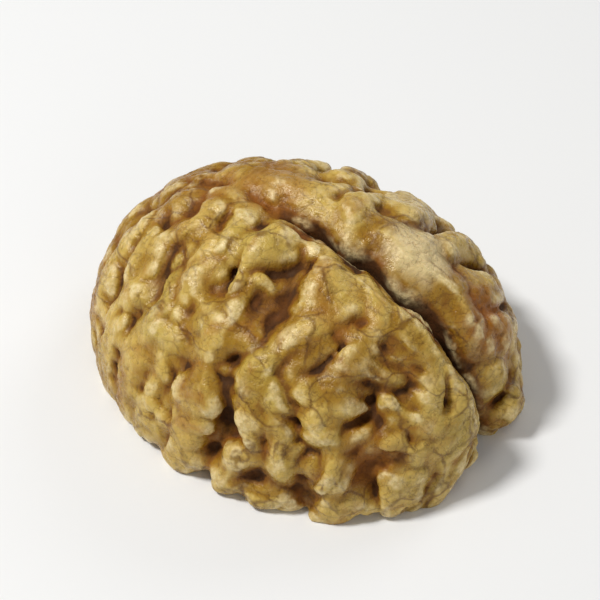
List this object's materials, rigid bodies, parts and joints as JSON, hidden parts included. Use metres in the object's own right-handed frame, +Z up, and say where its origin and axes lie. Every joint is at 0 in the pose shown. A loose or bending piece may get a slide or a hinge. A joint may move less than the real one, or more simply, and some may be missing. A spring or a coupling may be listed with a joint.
{
  "type": "walnut kernel half",
  "caption": "Half of a shelled walnut kernel: a domed, folded and wrinkled seed with a cleft between its lobes, hollow on its underside.",
  "frame": {"origin": "middle of the kernel's footprint, on the plane that it rests on", "axes": "+X along the kernel's length towards the open end of the cleft, +Y across it, +Z up through the domed outer face"},
  "size_m": [0.033, 0.0274, 0.0146],
  "materials": {
    "skin": "thin papery skin, golden tan, slightly waxy, with brown furrows and veins"
  },
  "bodies": {
    "root": {"kernel": "skin"}
  },
  "joints": []
}
